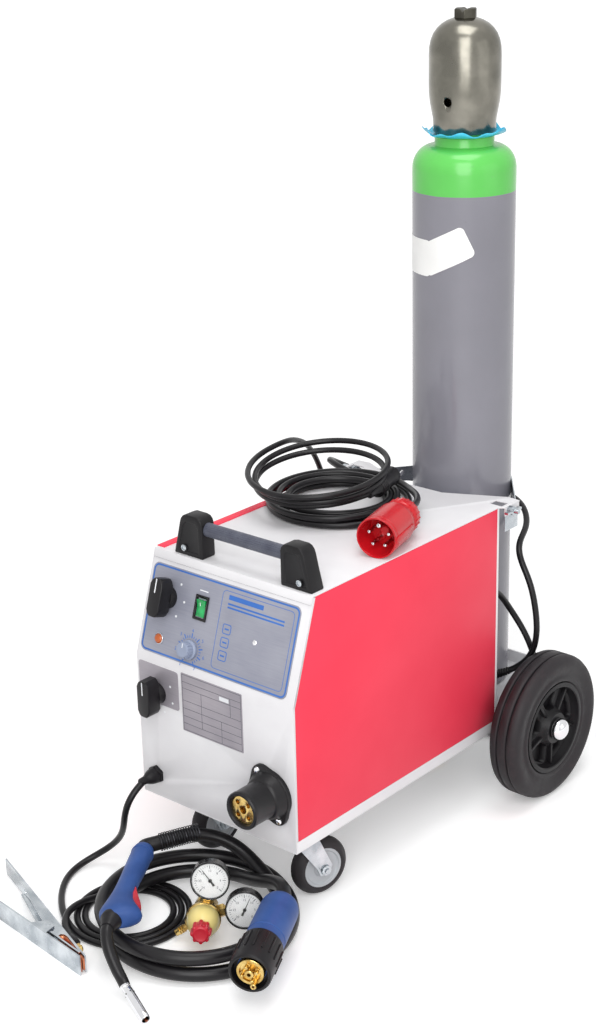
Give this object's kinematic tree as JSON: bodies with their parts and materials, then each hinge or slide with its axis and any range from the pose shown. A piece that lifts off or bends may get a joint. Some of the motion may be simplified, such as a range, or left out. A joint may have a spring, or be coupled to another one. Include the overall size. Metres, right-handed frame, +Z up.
{
  "type": "mig welder on cart",
  "caption": "Gas-shielded welding machine: sheet steel cabinet on casters and rear wheels, gas cylinder on its rear shelf, with torch, regulator, earth clamp and coiled leads.",
  "frame": {"origin": "middle of the footprint of the object without its leads, on the floor", "axes": "+Z up along the cylinder, +Y from the control panel to the rear wheels, +X to the right of the machine seen from its front"},
  "size_m": [0.4854, 0.8842, 1.0733],
  "materials": {
    "white_paint": "satin",
    "red_paint": "satin",
    "grey_paint": "satin",
    "zinc": "satin",
    "cap_steel": "satin",
    "brass": "satin",
    "film": "glossy",
    "black_plastic": "matte",
    "grip_tube": "satin",
    "control_foil": "matte",
    "knob_grey": "satin",
    "rocker_green": "glossy",
    "tyre": "matte",
    "cord": "satin",
    "torch_blue": "matte",
    "plug_red": "satin",
    "knob_red": "satin",
    "winding": "matte",
    "wire": "satin"
  },
  "bodies": {
    "machine": {"base_pan": "white_paint", "front_panel": "white_paint", "rear_panel": "white_paint", "lid": "white_paint", "side_cover_left": "red_paint", "rear_shelf": "grey_paint", "rear_axle": "zinc", "gas_cylinder": "grey_paint", "cylinder_valve": "brass", "cap_washer": "film", "cylinder_strap": "zinc", "handle_brackets": "black_plastic", "handle_grip": "grip_tube", "front_plates": "control_foil", "front_fittings": "black_plastic", "euro_socket": "black_plastic", "euro_core": "brass", "rear_fittings": "black_plastic", "electrics": "winding", "feed_motor": "grey_paint", "torch_handle": "torch_blue", "torch_neck": "black_plastic", "plug_sleeve": "torch_blue", "regulator_body": "brass", "gauges": "black_plastic", "clamp_upper": "zinc", "mains_coil": "cord", "mains_lead": "cord", "cee_plug": "plug_red", "aux_coil": "cord", "aux_lead": "cord", "schuko_plug": "black_plastic", "gas_hose": "cord", "gas_coil": "cord", "gas_nut": "brass", "torch_coil": "cord", "torch_lead": "cord", "earth_lead": "cord", "earth_coil": "cord"},
    "rear_wheel_left": {"rear_wheel_left": "tyre"},
    "rear_wheel_right": {"rear_wheel_right": "tyre"},
    "caster_left": {"caster_fork_left": "zinc"},
    "caster_right": {"caster_fork_right": "zinc"},
    "caster_wheel_left": {"caster_wheel_left": "tyre"},
    "caster_wheel_right": {"caster_wheel_right": "tyre"},
    "side_cover": {"side_cover_right": "red_paint"},
    "voltage_switch": {"upper_knob": "black_plastic"},
    "step_switch": {"lower_knob": "black_plastic"},
    "wire_speed_knob": {"pot_knob": "knob_grey"},
    "power_rocker": {"rocker": "rocker_green"},
    "fan": {"fan_blades": "black_plastic"},
    "drive_roll": {"drive_roll": "zinc"},
    "pressure_arm": {"pressure_arm": "grey_paint"},
    "wire_spool": {"wire_spool": "wire"},
    "torch_trigger": {"torch_trigger": "knob_red"},
    "plug_collar": {"plug_collar": "black_plastic"},
    "regulator_screw": {"regulator_knob": "knob_red"},
    "needle_high": {"needle_high": "black_plastic"},
    "needle_low": {"needle_low": "black_plastic"},
    "clamp_jaw": {"clamp_lower": "zinc"},
    "cylinder_cap": {"cylinder_cap": "cap_steel"}
  },
  "joints": [
    {"name": "rear_wheel_left_spin", "type": "hinge", "parent": "machine", "child": "rear_wheel_left", "pos_m": [-0.15571, 0.31597, 0.1045], "axis": [1, 0, 0], "continuous": true},
    {"name": "rear_wheel_right_spin", "type": "hinge", "parent": "machine", "child": "rear_wheel_right", "pos_m": [0.19229, 0.31597, 0.1045], "axis": [1, 0, 0], "continuous": true},
    {"name": "caster_left_swivel", "type": "hinge", "parent": "machine", "child": "caster_left", "pos_m": [-0.06971, -0.12103, 0.098], "axis": [0, 0, 1], "range_deg": [-40, 60]},
    {"name": "caster_left_spin", "type": "hinge", "parent": "caster_left", "child": "caster_wheel_left", "pos_m": [-0.06484, -0.08637, 0.04], "axis": [0.9903, -0.1392, 0], "continuous": true},
    {"name": "caster_right_swivel", "type": "hinge", "parent": "machine", "child": "caster_right", "pos_m": [0.10629, -0.12103, 0.098], "axis": [0, 0, 1], "range_deg": [-8, 14]},
    {"name": "caster_right_spin", "type": "hinge", "parent": "caster_right", "child": "caster_wheel_right", "pos_m": [0.11652, -0.08756, 0.04], "axis": [0.9563, -0.2924, 0], "continuous": true},
    {"name": "side_cover_tip", "type": "hinge", "parent": "machine", "child": "side_cover", "pos_m": [0.15119, 0.04497, 0.1214], "axis": [0, 1, 0], "range_deg": [0, 10]},
    {"name": "voltage_switch_turn", "type": "hinge", "parent": "machine", "child": "voltage_switch", "pos_m": [-0.07571, -0.14354, 0.38412], "axis": [0, -0.9518, 0.3066], "range_deg": [-150, 150]},
    {"name": "step_switch_turn", "type": "hinge", "parent": "machine", "child": "step_switch", "pos_m": [-0.07871, -0.16903, 0.259], "axis": [0, -1, 0], "range_deg": [-90, 90]},
    {"name": "wire_speed_turn", "type": "hinge", "parent": "machine", "child": "wire_speed_knob", "pos_m": [-0.02571, -0.16071, 0.33082], "axis": [0, -0.9518, 0.3066], "range_deg": [-150, 150]},
    {"name": "power_rocker_tip", "type": "hinge", "parent": "machine", "child": "power_rocker", "pos_m": [-0.01871, -0.14164, 0.38351], "axis": [1, 0, 0], "range_deg": [-16, 0]},
    {"name": "fan_spin", "type": "hinge", "parent": "machine", "child": "fan", "pos_m": [-0.04571, 0.24097, 0.315], "axis": [0, 1, 0], "continuous": true},
    {"name": "drive_roll_spin", "type": "hinge", "parent": "machine", "child": "drive_roll", "pos_m": [0.11329, -0.07703, 0.1622], "axis": [1, 0, 0], "continuous": true},
    {"name": "pressure_arm_swing", "type": "hinge", "parent": "machine", "child": "pressure_arm", "pos_m": [0.05829, -0.03703, 0.1842], "axis": [1, 0, 0], "range_deg": [-60, 0]},
    {"name": "wire_spool_spin", "type": "hinge", "parent": "machine", "child": "wire_spool", "pos_m": [0.05829, 0.12697, 0.237], "axis": [1, 0, 0], "continuous": true},
    {"name": "torch_trigger_squeeze", "type": "hinge", "parent": "machine", "child": "torch_trigger", "pos_m": [0.01115, -0.31747, 0.07034], "axis": [-0.02, 0.0344, -0.9992], "range_deg": [0, 7], "stiffness_Nm_per_rad": 0.25, "springref_deg": -5.73},
    {"name": "plug_collar_turn", "type": "hinge", "parent": "machine", "child": "plug_collar", "pos_m": [0.19679, -0.27753, 0.061], "axis": [0.4389, -0.8981, -0.027], "continuous": true},
    {"name": "regulator_screw_turn", "type": "hinge", "parent": "machine", "child": "regulator_screw", "pos_m": [0.10844, -0.299, 0.04292], "axis": [0.6287, -0.7493, 0.2079], "range_deg": [0, 1440]},
    {"name": "needle_high_swing", "type": "hinge", "parent": "machine", "child": "needle_high", "pos_m": [0.08976, -0.26071, 0.08832], "axis": [0.6287, -0.7493, 0.2079], "range_deg": [-250, 20], "stiffness_Nm_per_rad": 0.00001},
    {"name": "needle_low_swing", "type": "hinge", "parent": "machine", "child": "needle_low", "pos_m": [0.12673, -0.24003, 0.05103], "axis": [0.6287, -0.7493, 0.2079], "range_deg": [-250, 20], "stiffness_Nm_per_rad": 0.00001},
    {"name": "clamp_open", "type": "hinge", "parent": "machine", "child": "clamp_jaw", "pos_m": [-0.06851, -0.38985, 0.014], "axis": [0, 0, -1], "range_deg": [0, 7], "stiffness_Nm_per_rad": 0.8, "springref_deg": -14.32},
    {"name": "cylinder_cap_lift", "type": "slide", "parent": "machine", "child": "cylinder_cap", "axis": [0, 0, 1], "range_m": [0, 0.15]}
  ]
}
